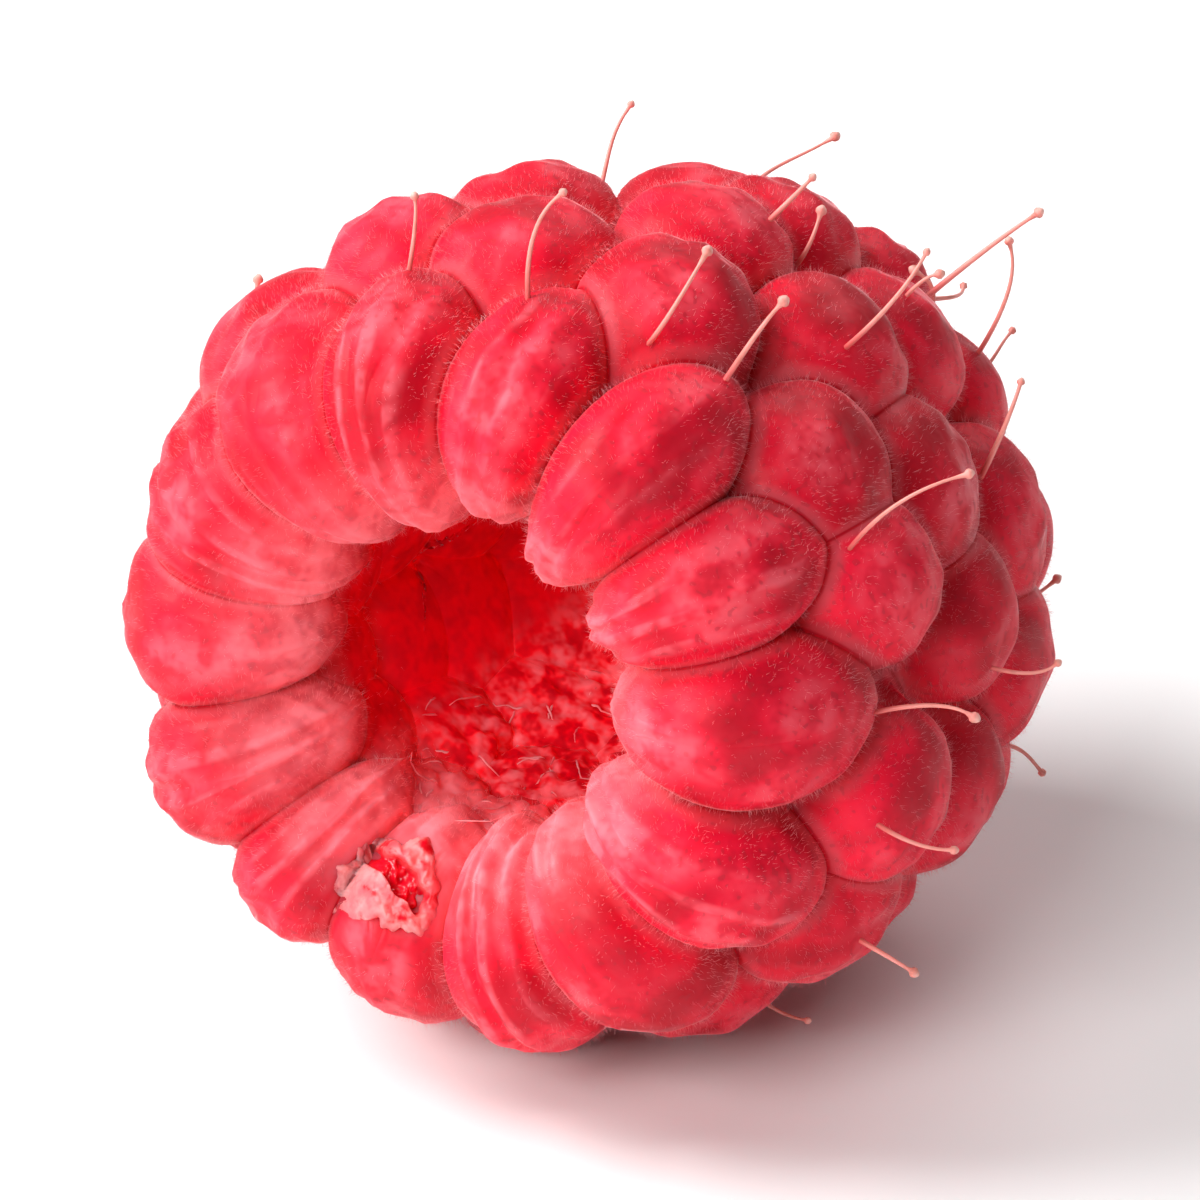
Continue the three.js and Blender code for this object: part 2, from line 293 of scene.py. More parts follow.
def grow_patches():
    """The flesh before it is laid down: points, faces, and what the skin's colour follows."""
    triangles = np.array(neighbour_triangles())
    # Three drupelets meet at each corner. turn_to gives, for a drupelet and one that it touches, the
    # next one round it and the corner between them.
    corner = meeting_places(triangles, MIDDLE[triangles].sum(1))
    turn_to = [{} for _ in drupelets]
    for c, t in enumerate(triangles):
        for q in range(3):
            turn_to[t[q]][t[(q + 1) % 3]] = (t[(q + 2) % 3], c)
    edge_direction = list(corner)
    outlines = [[] for _ in drupelets]
    # The points of each crease, which two drupelets share, from one of its corners to the other.
    crease = {}
    for i, turns in enumerate(turn_to):
        for here in list(turns):
            there, c = turns[here]
            d = turns[there][1]
            if (min(i, there), max(i, there)) not in crease:
                angle = math.acos(min(1, corner[c] @ corner[d]))
                steps = max(2, math.ceil(angle / OUTLINE_STEP))
                t = (np.arange(1, steps) / steps)[:, None]
                owners = np.tile([i, there], (steps - 1, 1))
                places = meeting_places(owners, corner[c] * (1 - t) + corner[d] * t)
                first = len(edge_direction)
                edge_direction.extend(places)
                crease[min(i, there), max(i, there)] = (c, list(range(first, first + steps - 1)))
    # Each drupelet's outline, crease by crease.
    for i, turns in enumerate(turn_to):
        start = here = next(iter(turns))
        while True:
            there, c = turns[here]
            began, points = crease[min(i, there), max(i, there)]
            outlines[i] += [c] + (points if began == c else points[::-1])
            here = there
            if here == start:
                break
    edge_direction = np.array(edge_direction)
    # A shared point stands as high as the domes that meet there do on average.
    total = np.zeros(len(edge_direction))
    owners_at = np.zeros(len(edge_direction))
    spread = []
    for i, outline in enumerate(outlines):
        x = CREASE_AT * reach(np.full(len(outline), i), edge_direction[outline])[0]
        spread.append(x)
        total[outline] += HEIGHT[i] * dome(x)
        owners_at[outline] += 1
    shared = total / owners_at
    directions, heights, owner = [edge_direction], [shared], [np.full(len(shared), -1)]
    rise, fold = [np.zeros(len(shared))], [np.zeros(len(shared))]
    faces = []
    count = len(edge_direction)
    # Rings of points, from each drupelet's top out to its outline.
    fractions = np.sin(np.arange(1, PATCH_RINGS) / PATCH_RINGS * math.pi / 2) ** EDGE_CROWDING
    for i, outline in enumerate(outlines):
        m = len(outline)
        edge, x, h = edge_direction[outline], spread[i], shared[outline]
        f = fractions[:, None]
        direction = unit(MIDDLE[i] * (1 - f[..., None]) + edge * f[..., None]).reshape(-1, 3)
        bend = (h - HEIGHT[i] * dome(x)) * f**SIDE_FALL
        height = (HEIGHT[i] * dome(f * x) + bend).ravel()
        swell = lumps(direction * ABOUT_RADIUS + i, LUMP_SIZE, 5) * HEIGHT[i] * LUMP_SHARE
        ridge = np.zeros(len(direction))
        if drupelets[i]["ring"] == RIM:
            across = (direction - MIDDLE[i]) @ SIDEWAYS[i] * 9
            across += FOLD_WANDER * lumps(direction * ABOUT_RADIUS - i, 1.6, 6)
            ridge = (0.6 + 0.4 * math.sin(3.7 * i)) * np.sin(2 * math.pi * across / FOLD_WIDTH + 2.3 * i)
            swell += FOLD_HEIGHT * ridge
        swell *= 1 - np.repeat(fractions, m) ** SMOOTH_EDGE
        directions += [MIDDLE[i : i + 1], direction]
        heights += [HEIGHT[i : i + 1], height + swell]
        owner += [np.full(1 + len(direction), i)]
        rise += [np.concatenate([[1], 1 - np.repeat(fractions, m)])]
        fold += [np.concatenate([[ridge[:m].mean()], ridge])]
        inner = count + 1 + np.arange(len(direction)).reshape(-1, m)
        rows = np.vstack([inner, outline])
        faces.append(np.stack([np.full(m, count), rows[0], np.roll(rows[0], -1)], -1))
        for a, b in zip(rows, rows[1:]):
            a1, b1 = np.roll(a, -1), np.roll(b, -1)
            faces += [np.stack([a, b, b1], -1), np.stack([a, b1, a1], -1)]
        count += 1 + len(direction)
    values = (np.concatenate(v) for v in (heights, owner, rise, fold))
    return np.vstack(directions), *values, np.vstack(faces)


def swell_and_tip(points):
    """Makes the berry uneven and tips it nose down."""
    around = np.arctan2(points[:, 2], points[:, 0])
    uneven = np.cos(2 * around + OVAL_AT) + CORNERED_SHARE * np.cos(3 * around + CORNERED_AT)
    swell = 1 + OUT_OF_ROUND * uneven
    x, y, z = points[:, 0] * swell, points[:, 1], points[:, 2] * swell
    t, n = math.radians(TURN), -math.radians(NOSE_DOWN)
    x, z = x * math.cos(t) + z * math.sin(t), z * math.cos(t) - x * math.sin(t)
    y, z = y * math.cos(n) - z * math.sin(n), y * math.sin(n) + z * math.cos(n)
    return np.stack([x * (1 - TALLER), y, z * (1 + TALLER)], -1)


patch_direction, patch_height, patch_owner, patch_rise, patch_fold, flesh_faces = grow_patches()
standing = swell_and_tip(body_point(patch_direction, patch_height))
# The fine skin shares the solid's middle and its top, so that both lie alike.
lift = np.array([(low[0] + high[0]) / 2, (low[1] + high[1]) / 2, high[2]])
lift -= np.array([*(standing[:, :2].min(0) + standing[:, :2].max(0)) / 2, standing[:, 2].max()])


def lay_down(direction, height):
    """Points that stand height over the cup, as the berry lies, in millimetres."""
    points = swell_and_tip(body_point(direction, height)) + lift
    points[:, 2] = np.maximum(points[:, 2], 0)
    return points


def lay_point(direction, height):
    return lay_down(direction[None], np.array([height]))[0]


def surface_normals(points, faces):
    """The outward normal at every point, and every face's area."""
    corners = points[faces]
    flat = np.cross(corners[:, 1] - corners[:, 0], corners[:, 2] - corners[:, 0])
    normals = np.zeros_like(points)
    for q in range(3):
        np.add.at(normals, faces[:, q], flat)
    return unit(normals), np.linalg.norm(flat, axis=-1) / 2


HOLLOW_MIDDLE = (139, 764)  # where the photograph shows it
WALL_FROM = 0.66  # the share of the way from the tip over the lip to the hollow's end
WALL_FADE = 0.06
TISSUE_HEIGHT = 0.1
flesh_points = lay_down(patch_direction, patch_height)
share = np.arccos(np.clip(patch_direction[:, 1], -1, 1)) / math.pi
inside = np.clip((share - WALL_FROM) / WALL_FADE, 0, 1)
hollow_at = photo_place(*HOLLOW_MIDDLE)


def pulpiness(points):
    """How much of the core's tissue is left on the wall: most of it low on the right of the hollow."""
    return np.clip((0.8 * ((points - hollow_at) @ right) - (points - hollow_at) @ up + 0.3) / 2.2, 0, 1)


pulpy = inside * pulpiness(flesh_points)
tissue = np.abs(lumps(flesh_points, 1.1, 31)) + 0.5 * lumps(flesh_points, 0.5, 32) - 0.3
flesh_points += surface_normals(flesh_points, flesh_faces)[0] * (TISSUE_HEIGHT * pulpy * tissue)[:, None]
whole_skin = BVHTree.FromPolygons(flesh_points.tolist(), flesh_faces.tolist())

# One drupelet of the rim is torn open, low on the left: under the tear the flesh sinks in.
TEAR_AT = (119.5, 812)
TEAR_HALF = (1.05, 1.3)
TEAR_SUNK = 0.75
TEAR_THROUGH = 1.6  # only flesh this near the skin is torn
TEAR_STAIN = 1.25
tear_hit = whole_skin.ray_cast(Vector(lens), Vector(sight(*TEAR_AT)))
tear_place, tear_normal = np.array(tear_hit[0]), np.array(tear_hit[1])
tear_side = unit(np.cross(up, tear_normal))
tear_along = np.cross(tear_normal, tear_side)


def tear_reach(points):
    """How far points are from the middle of the tear, in its half sizes."""
    away = points - tear_place
    return np.hypot(away @ tear_side / TEAR_HALF[0], away @ tear_along / TEAR_HALF[1])


near_tear = np.abs((flesh_points - tear_place) @ tear_normal) < TEAR_THROUGH
torn = np.where(near_tear, np.clip(TEAR_STAIN - tear_reach(flesh_points), 0, 1), 0)
sink = np.where(near_tear, np.clip(1 - tear_reach(flesh_points) ** 2, 0, 1) ** 1.5, 0)
flesh_points -= tear_normal * (TEAR_SUNK * sink)[:, None]


def mesh_piece(name, points, faces, material, marks=None):
    """A mesh object from millimetre points and triangles, with named values at its points."""
    mesh = bpy.data.meshes.new(name)
    mesh.vertices.add(len(points))
    mesh.vertices.foreach_set("co", (np.asarray(points) * MM).astype(np.float32).ravel())
    mesh.loops.add(3 * len(faces))
    mesh.loops.foreach_set("vertex_index", np.asarray(faces, np.int32).ravel())
    mesh.polygons.add(len(faces))
    mesh.polygons.foreach_set("loop_start", np.arange(0, 3 * len(faces), 3, dtype=np.int32))
    mesh.update(calc_edges=True)
    mesh.validate()
    for key, values in (marks or {}).items():
        mesh.attributes.new(key, "FLOAT", "POINT").data.foreach_set("value", np.asarray(values, np.float32))
    mesh.polygons.foreach_set("use_smooth", np.ones(len(mesh.polygons), bool))
    mesh.materials.append(material)
    piece = bpy.data.objects.new(name, mesh)
    bpy.context.scene.collection.objects.link(piece)
    return piece


def new_material(name):
    material = bpy.data.materials.new(name)
    material.use_nodes = True
    nodes = material.node_tree.nodes
    nodes.clear()
    out = nodes.new("ShaderNodeOutputMaterial")
    bsdf = nodes.new("ShaderNodeBsdfPrincipled")
    material.node_tree.links.new(bsdf.outputs["BSDF"], out.inputs["Surface"])
    return material, bsdf


def let_light_in(bsdf, weight, spread, scale):
    """Light goes into the flesh and comes out again, the red of it furthest off."""
    bsdf.inputs["Subsurface Weight"].default_value = weight
    bsdf.inputs["Subsurface Radius"].default_value = spread
    bsdf.inputs["Subsurface Scale"].default_value = scale


class Wiring:
    """Short calls for adding nodes to one tree."""

    def __init__(self, tree):
        self.tree = tree

    def put(self, socket, value):
        if isinstance(value, bpy.types.NodeSocket):
            self.tree.links.new(value, socket)
        else:
            socket.default_value = value

    def add(self, kind, out=0, settings=None, **inputs):
        node = self.tree.nodes.new(kind)
        for key, value in (settings or {}).items():
            setattr(node, key, value)
        for key, value in inputs.items():
            self.put(node.inputs[key.replace("_", " ")], value)
        return node.outputs[out]

    def mark(self, name):
        return self.add("ShaderNodeAttribute", "Fac", {"attribute_name": name})

    def math(self, operation, a, b, clamp=False):
        node = self.tree.nodes.new("ShaderNodeMath")
        node.operation = operation
        node.use_clamp = clamp
        self.put(node.inputs[0], a)
        self.put(node.inputs[1], b)
        return node.outputs[0]

    def span(self, value, low, high, to_low=0.0, to_high=1.0):
        node = self.tree.nodes.new("ShaderNodeMapRange")
        node.interpolation_type = "SMOOTHSTEP"
        names = ("Value", "From Min", "From Max", "To Min", "To Max")
        for name, given in zip(names, (value, low, high, to_low, to_high)):
            self.put(node.inputs[name], given)
        return node.outputs[0]

    def mix(self, amount, a, b):
        node = self.tree.nodes.new("ShaderNodeMix")
        node.data_type = "RGBA"
        self.put(node.inputs[0], amount)
        self.put(node.inputs[6], a)
        self.put(node.inputs[7], b)
        return node.outputs[2]

    def place(self, group, output, **inputs):
        """One of a node group's outputs, with the group's own values here."""
        node = self.tree.nodes.new("ShaderNodeGroup")
        node.node_tree = group
        for key, value in inputs.items():
            self.put(node.inputs[key], value)
        return node.outputs[output]


MOTTLE_INPUTS = {"Scale": 1000, "Detail": 2, "Roughness": 0.5, "From": 0.35, "To": 0.65}


def mottle_group():
    """Soft uneven mottling, as all of the berry's living and dried parts have."""
    group = bpy.data.node_groups.new("berry_mottle", "ShaderNodeTree")
    for name, value in MOTTLE_INPUTS.items():
        socket = group.interface.new_socket(name, in_out="INPUT", socket_type="NodeSocketFloat")
        socket.default_value = value
    for name in ("Grain", "Patches"):
        group.interface.new_socket(name, in_out="OUTPUT", socket_type="NodeSocketFloat")
    w = Wiring(group)
    given = group.nodes.new("NodeGroupInput").outputs
    grain = w.add(
        "ShaderNodeTexNoise", "Fac", Vector=w.add("ShaderNodeTexCoord", "Object"), Scale=given["Scale"],
        Detail=given["Detail"], Roughness=given["Roughness"],
    )
    result = group.nodes.new("NodeGroupOutput").inputs
    w.put(result["Grain"], grain)
    w.put(result["Patches"], w.span(grain, given["From"], given["To"]))
    return group


mottle = mottle_group()


def flesh_material():
    material, bsdf = new_material("raspberry_flesh")
    w = Wiring(material.node_tree)
    rise, fold, own, inside, pulpy, lip, torn = (
        w.mark(key) for key in ("rise", "fold", "own", "inside", "pulpy", "lip", "torn")
    )
    broad = w.place(mottle, "Grain", Scale=460, Detail=1)
    fine = w.place(mottle, "Grain", Scale=1300, Detail=2, Roughness=0.64)
    # deep red for uneven patches of the skin, and also painted shade in the creases
    deep_red_and_crease_shade = (0.36, 0.0, 0.008, 1)
    painted_light_pink = (0.95, 0.2, 0.25, 1)
    colour = w.mix(own, (0.62, 0.0, 0.018, 1), (0.84, 0.004, 0.035, 1))
    colour = w.mix(w.span(broad, 0.46, 0.66, 0.0, 0.7), colour, deep_red_and_crease_shade)
    colour = w.mix(w.span(fine, 0.5, 0.7, 0.0, 0.35), colour, deep_red_and_crease_shade)
    # Painted shade: the skin darkens towards each crease.
    colour = w.mix(w.span(rise, 0.0, 0.16, 0.8, 0.0), colour, deep_red_and_crease_shade)
    # Painted highlight: the skin is paler in patches towards each drupelet's top and along its folds, and a
    # painted sheen makes it a little paler just above each crease.
    painted_highlight = w.math("MAXIMUM", w.span(broad, 0.32, 0.56, 0.85, 0.04), w.span(fold, 0.0, 0.8, 0.0, 0.85))
    painted_highlight = w.math("MULTIPLY", painted_highlight, w.span(fine, 0.34, 0.64, 0.46, 0.08))
    colour = w.mix(w.math("MULTIPLY", w.span(rise, 0.12, 0.55), painted_highlight), colour, painted_light_pink)
    # Painted sheen: a thin pale line just above each crease, where the down would glow edge-on.
    line = w.math("MULTIPLY", w.span(rise, 0.01, 0.035), w.span(rise, 0.06, 0.17, 0.2, 0.0))
    colour = w.mix(line, colour, painted_light_pink)
    speck = w.place(mottle, "Patches", Scale=5200, Detail=0, From=0.68, To=0.76)
    colour = w.mix(w.math("MULTIPLY", speck, 0.35), colour, (0.35, 0.02, 0.03, 1))
    # The wall of the hollow is clear and red, and pale and pulpy where the core left its fibres.
    wall = w.mix(w.span(fine, 0.35, 0.7), (0.95, 0.0, 0.012, 1), (0.72, 0.0, 0.012, 1))
    net = w.place(mottle, "Grain", Scale=1700, Detail=2, Roughness=0.66)
    # Painted shade: darker patches between the pale pulp, where its gaps would lie in shade.
    painted_gap_shade = w.math("MULTIPLY", pulpy, w.span(net, 0.34, 0.5, 0.6, 0.0))
    wall = w.mix(painted_gap_shade, wall, (0.4, 0.0, 0.008, 1))
    pulp = w.math("MULTIPLY", pulpy, w.span(net, 0.42, 0.7, 0.0, 0.7))
    wall = w.mix(pulp, wall, (0.93, 0.22, 0.26, 1))
    colour = w.mix(inside, colour, wall)
    # Painted sheen round the mouth, with the real pale pulp left low on the right.
    lip_sheen_and_pale_pulp = w.math("MULTIPLY", lip, w.span(fine, 0.36, 0.66, 0.9, 0.45))
    colour = w.mix(lip_sheen_and_pale_pulp, colour, (0.96, 0.26, 0.3, 1))
    colour = w.mix(torn, colour, (0.62, 0.0, 0.01, 1))
    w.put(bsdf.inputs["Base Color"], colour)
    rough = w.span(fine, 0.35, 0.65, 0.48, 0.62)
    w.put(bsdf.inputs["Roughness"], w.math("SUBTRACT", rough, w.math("MULTIPLY", torn, 0.3), clamp=True))
    pores = w.place(mottle, "Grain", Scale=2600, Detail=1)
    bump = w.add("ShaderNodeBump", "Normal", Strength=0.5, Distance=0.00006, Height=pores)
    w.put(bsdf.inputs["Normal"], bump)
    bsdf.subsurface_method = "BURLEY"
    bsdf.inputs["IOR"].default_value = 1.4
    bsdf.inputs["Specular IOR Level"].default_value = 0.3
    let_light_in(bsdf, 0.8, (1.0, 0.1, 0.08), 0.0013)
    bsdf.inputs["Sheen Weight"].default_value = 0.75
    bsdf.inputs["Sheen Roughness"].default_value = 0.14
    bsdf.inputs["Sheen Tint"].default_value = (1.0, 0.5, 0.52, 1)
    return material


# A pale band round the whole mouth is painted sheen, for the down seen edge-on along the lip; low on the
# right the core also left real pale pulp, so the band is widest there.
LIP_AT = 0.66
LIP_HALF_WIDTH = 0.045
PULP_LIP_AT = 0.69
PULP_LIP_FADE = 0.035
lip = np.maximum(
    np.clip(1 - np.abs(share - LIP_AT) / LIP_HALF_WIDTH, 0, 1),
    pulpiness(flesh_points) * np.clip(1.6 - np.abs(share - PULP_LIP_AT) / PULP_LIP_FADE, 0, 1),
)
own_draw = np.random.default_rng(7).uniform(0, 1, len(drupelets) + 1)
flesh = mesh_piece("berry_flesh", flesh_points, flesh_faces, flesh_material(), {
    "rise": patch_rise,
    "fold": patch_fold,
    "own": own_draw[patch_owner],
    "inside": inside,
    "pulpy": pulpy,
    "lip": lip,
    "torn": torn,
})
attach(flesh, "root")
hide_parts("raspberry")

# The torn skin: the burst drupelet's skin stands up round the tear in a pale crumpled collar with a
# ragged edge, and wet red pulp shows in its middle.
COLLAR_TURNS = 132
COLLAR_RINGS = 40
SLIT_MIDDLE = (0.1, 0.12)  # in the tear's half sizes, like its own half sizes
SLIT_HALF = (0.62, 0.25)
SLIT_ALONG = np.array([0.63, -0.77])
SLIT_ACROSS = np.array([0.77, 0.63])
SLIT_FADE = 0.35
PULP_SUNK = -0.35
COLLAR_HEIGHT = 0.11
COLLAR_ROOT = 1.2


def collar_points():
    """The collar's points ring by ring, and how far each is skin and not pulp."""
    around = np.arange(COLLAR_TURNS) * 2 * math.pi / COLLAR_TURNS
    out = (np.arange(1, COLLAR_RINGS + 1) / COLLAR_RINGS)[:, None]
    circle = np.stack([np.cos(around), np.sin(around), 0 * around], -1)
    jag = 1 + 0.13 * lumps(circle, 0.9, 21) + 0.06 * lumps(circle, 0.28, 22)
    reached = out * (1 + (jag - 1) * out)
    flat = tear_side * TEAR_HALF[0] * np.cos(around)[:, None]
    flat += tear_along * TEAR_HALF[1] * np.sin(around)[:, None]
    start = (tear_place + reached[..., None] * flat).reshape(-1, 3)
    away = reached[..., None] * circle[:, :2] - SLIT_MIDDLE
    slit = np.hypot(away @ SLIT_ALONG / SLIT_HALF[0], away @ SLIT_ACROSS / SLIT_HALF[1])
    slit += 0.2 * lumps(start, 0.6, 23).reshape(slit.shape)
    step = np.clip((slit - 1) / SLIT_FADE, 0, 1)
    step = step * step * (3 - 2 * step)
    crumple = 0.5 * np.abs(lumps(start, 0.55, 24)) + 0.3 * np.abs(lumps(start, 0.24, 25))
    crumple = crumple.reshape(slit.shape)
    collar = COLLAR_HEIGHT * (0.45 + crumple) * np.clip((1 - out) / 0.22, 0, 1) ** 0.6 - 0.07 * out**8
    pulp = PULP_SUNK + 0.07 * lumps(start, 0.3, 26).reshape(slit.shape)
    height = pulp * (1 - step) + collar * step
    points = []
    for place, h in zip(start, height.ravel()):
        on_skin = whole_skin.ray_cast(Vector(place + 2.5 * tear_normal), Vector(-tear_normal))[0]
        points.append(np.array(on_skin if on_skin else place) + tear_normal * h)
    middle = tear_place + tear_normal * PULP_SUNK
    return np.vstack([points, middle, tear_place - tear_normal * COLLAR_ROOT]), step


def collar_faces():
    grid = np.arange(COLLAR_TURNS * COLLAR_RINGS).reshape(COLLAR_RINGS, COLLAR_TURNS)
    top, bottom = grid.size, grid.size + 1
    a, b = grid[:-1], grid[1:]
    a1, b1 = np.roll(a, -1, 1), np.roll(b, -1, 1)
    return np.vstack([
        np.stack([a, b, b1], -1).reshape(-1, 3),
        np.stack([a, b1, a1], -1).reshape(-1, 3),
        np.stack([np.full(COLLAR_TURNS, top), grid[0], np.roll(grid[0], -1)], -1),
        np.stack([np.full(COLLAR_TURNS, bottom), np.roll(grid[-1], -1), grid[-1]], -1),
    ])


def torn_skin_material():
    material, bsdf = new_material("torn_skin")
    w = Wiring(material.node_tree)
    skin = w.mark("skin")
    patches = w.place(mottle, "Patches", Scale=1500, Detail=3)
    flaps = w.mix(patches, (0.86, 0.09, 0.11, 1), (0.95, 0.26, 0.26, 1))
    grain = w.place(mottle, "Grain", Scale=1800)
    pulp = w.mix(grain, (0.6, 0.0, 0.008, 1), (0.8, 0.005, 0.02, 1))
    patchy = w.math("MULTIPLY", skin, w.place(mottle, "Patches", Scale=1900, Detail=3, From=0.3, To=0.5))
    w.put(bsdf.inputs["Base Color"], w.mix(patchy, pulp, flaps))
    w.put(bsdf.inputs["Roughness"], w.span(patchy, 0.0, 1.0, 0.14, 0.42))
    wrinkles = w.place(mottle, "Grain", Scale=5200, Detail=3)
    bump = w.add("ShaderNodeBump", "Normal", Strength=0.5, Distance=0.00004, Height=wrinkles)
    w.put(bsdf.inputs["Normal"], bump)
    bsdf.inputs["IOR"].default_value = 1.4
    let_light_in(bsdf, 0.6, (1.0, 0.2, 0.16), 0.0006)
    return material


collar, collar_skin = collar_points()
torn_skin = mesh_piece("torn_skin", collar, collar_faces(), torn_skin_material(), {
    "skin": np.concatenate([collar_skin.ravel(), [0, 0]]),
})
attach(torn_skin, "root")

# The styles: one dry, thread-like hair left on each drupelet, where the flower's pistil was, with a
# small knob at its end. They come up out of the crease on the tip side and lean out and away.
STYLE_LENGTH = (2.6, 3.9)
STYLE_RADIUS = 0.062
KNOB_RADIUS = 0.13
STYLE_SHARE = 0.8
STYLE_SIDES = 6
STYLE_STEPS = 14
STYLE_FOOT = 0.55  # how far up the drupelet it comes out
STYLE_ROOTED = 0.25  # how deep its foot is in the flesh
STYLE_CLEAR = 0.12  # how far it stays off the skin
LOWEST_STYLE = 2.5  # none is left under the berry
# Where the photograph shows a style's foot and its knob.
STYLES_SEEN = (
    ((185, 711), (196, 696)),
    ((209, 705), (225, 686)),
    ((209, 745), (233, 730)),
    ((236, 731), (244, 712)),
    ((236, 706), (242, 684)),
    ((231, 689), (247, 678)),
    ((169, 705), (181, 686)),
    ((145, 695), (152, 674)),
    ((122, 689), (123, 675)),
    ((194, 679), (202, 671)),
    ((199, 689), (204, 678)),
    ((215, 777), (234, 778)),
    ((238, 769), (251, 768)),
    ((215, 800), (230, 805)),
    ((212, 823), (222, 829)),
    ((192, 838), (201, 839)),
    ((221, 694), (227, 690)),
    ((228, 696), (223, 690)),
)

skin_tree = BVHTree.FromPolygons(flesh_points.tolist(), flesh_faces.tolist())


def tube(points, radii, sides):
    """A closed tube of triangles along the points."""
    tangents = unit(np.gradient(points, axis=0))
    side = unit(np.cross(tangents[0], [0.31, 0.52, 0.8]))
    ring_points = []
    for p, t, r in zip(points, tangents, radii):
        side = unit(side - t * (side @ t))
        over = np.cross(t, side)
        turn = np.arange(sides) * 2 * math.pi / sides
        ring_points.append(p + r * (np.cos(turn)[:, None] * side + np.sin(turn)[:, None] * over))
    n = len(points)
    grid = np.arange(n * sides).reshape(n, sides)
    a, b = grid[:-1], grid[1:]
    a1, b1 = np.roll(a, -1, 1), np.roll(b, -1, 1)
    faces = [np.stack([a, a1, b1], -1).reshape(-1, 3), np.stack([a, b1, b], -1).reshape(-1, 3)]
    first, last = n * sides, n * sides + 1
    faces.append(np.stack([np.roll(grid[0], -1), grid[0], np.full(sides, first)], -1))
    faces.append(np.stack([grid[-1], np.roll(grid[-1], -1), np.full(sides, last)], -1))
    return np.vstack([*ring_points, points[:1], points[-1:]]), np.vstack(faces)


def style_material():
    material, bsdf = new_material("dry_style")
    w = Wiring(material.node_tree)
    along = w.mark("along")
    colour = w.mix(w.span(along, 0.0, 0.3), (0.68, 0.09, 0.09, 1), (0.81, 0.28, 0.24, 1))
    colour = w.mix(w.span(along, 0.85, 0.97), colour, (0.87, 0.44, 0.38, 1))
    browned = w.math("MULTIPLY", w.place(mottle, "Patches", Scale=2500, From=0.5, To=0.75), 0.5)
    colour = w.mix(browned, colour, (0.5, 0.16, 0.11, 1))
    w.put(bsdf.inputs["Base Color"], colour)
    grain = w.place(mottle, "Grain", Scale=5000)
    w.put(bsdf.inputs["Roughness"], w.span(grain, 0.3, 0.7, 0.4, 0.6))
    bump = w.add("ShaderNodeBump", "Normal", Strength=0.4, Distance=0.00002, Height=grain)
    w.put(bsdf.inputs["Normal"], bump)
    let_light_in(bsdf, 0.3, (1.0, 0.5, 0.4), 0.0002)
    return material


def seen_style(foot, knob):
    """The curve of a style whose foot and knob the photograph shows."""
    place, normal = skin_tree.ray_cast(Vector(lens), Vector(sight(*foot)))[:2]
    if place is None:
        there = lens + sight(*foot) * CAMERA_DISTANCE
        place, normal = skin_tree.find_nearest(Vector(there))[:2]
    place, normal = np.array(place), np.array(normal)
    long = math.dist(foot, knob) * PIXEL
    line_of_sight = sight(*knob)
    far = ((place - lens) @ forward - 0.25 * long) / (line_of_sight @ forward)
    behind = skin_tree.ray_cast(Vector(lens), Vector(line_of_sight))[3]
    if behind:
        far = min(far, behind - 0.4)
    end = lens + line_of_sight * far
    bend = place + normal * 0.4 * long + (end - place) * 0.35
    t = np.linspace(0, 1, STYLE_STEPS)[:, None]
    return (1 - t) ** 2 * (place - normal * STYLE_ROOTED) + 2 * t * (1 - t) * bend + t * t * end


def unseen_style(d, draw):
    """A style that grows out of the crease beyond one of the other drupelets."""
    root_direction = unit(d["direction"] + d["tipward"] * d["half"][0] * (0.75 + 0.2 * draw[1])
                          + d["sideways"] * d["half"][1] * 0.5 * (draw[2] - 0.5))
    root = lay_point(root_direction, STYLE_FOOT * d["height"])
    outer = lay_point(root_direction, d["height"] + 3.0)
    normal = unit(outer - root)
    ahead = lay_point(unit(root_direction + d["tipward"] * 0.05), STYLE_FOOT * d["height"])
    tip = unit(ahead - root)
    side = np.cross(normal, tip)
    heading = unit(normal + tip * (0.2 + 0.7 * draw[3]) + side * 1.1 * (draw[4] - 0.5))
    curl = (tip * (draw[5] - 0.35) + side * 1.6 * (draw[6] - 0.5)) * 0.9
    length = STYLE_LENGTH[0] + (STYLE_LENGTH[1] - STYLE_LENGTH[0]) * draw[7]
    line = [root - normal * STYLE_ROOTED]
    for n in range(1, STYLE_STEPS):
        t = n / (STYLE_STEPS - 1)
        wiggle = side * 0.25 * math.sin(5 * t + 6 * draw[8]) + tip * 0.2 * math.sin(4 * t + 6 * draw[9])
        line.append(line[-1] + unit(heading + curl * t + wiggle) * length / STYLE_STEPS)
    return np.array(line)


